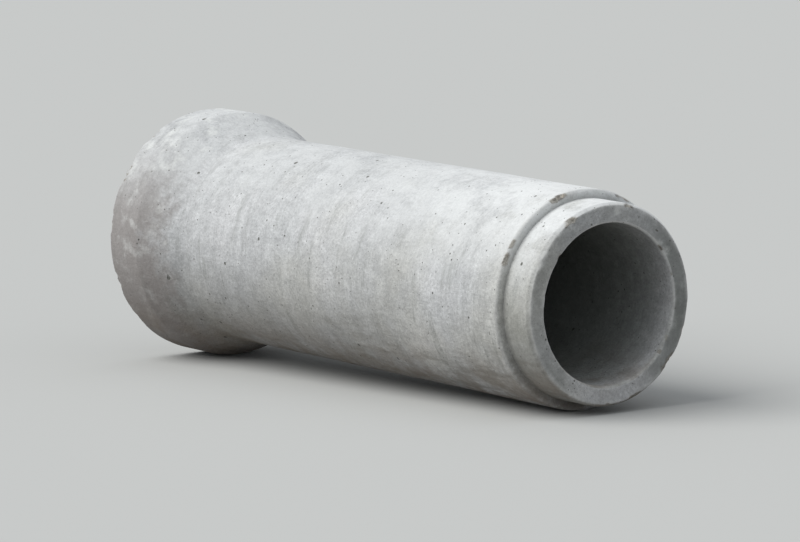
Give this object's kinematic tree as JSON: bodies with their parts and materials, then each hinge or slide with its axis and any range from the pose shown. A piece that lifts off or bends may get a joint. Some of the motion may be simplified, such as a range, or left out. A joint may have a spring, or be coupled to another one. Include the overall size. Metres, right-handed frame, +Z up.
{
  "type": "concrete sewer pipe",
  "caption": "Plain concrete sewer pipe with a bell and spigot joint: round through bore, straight barrel, wider socket end and stepped-down spigot end.",
  "frame": {"origin": "on the ground, under the middle of the pipe as it lies", "axes": "+Z up; +X level, from the bell end to the spigot end; the pipe's own axis lies in the XZ plane and drops 2.0 degrees towards +X, because the bell is wider than the barrel"},
  "size_m": [1.3018, 0.488, 0.4905],
  "materials": {
    "concrete": "matte"
  },
  "bodies": {
    "root": {"concrete_pipe": "concrete"}
  },
  "joints": []
}
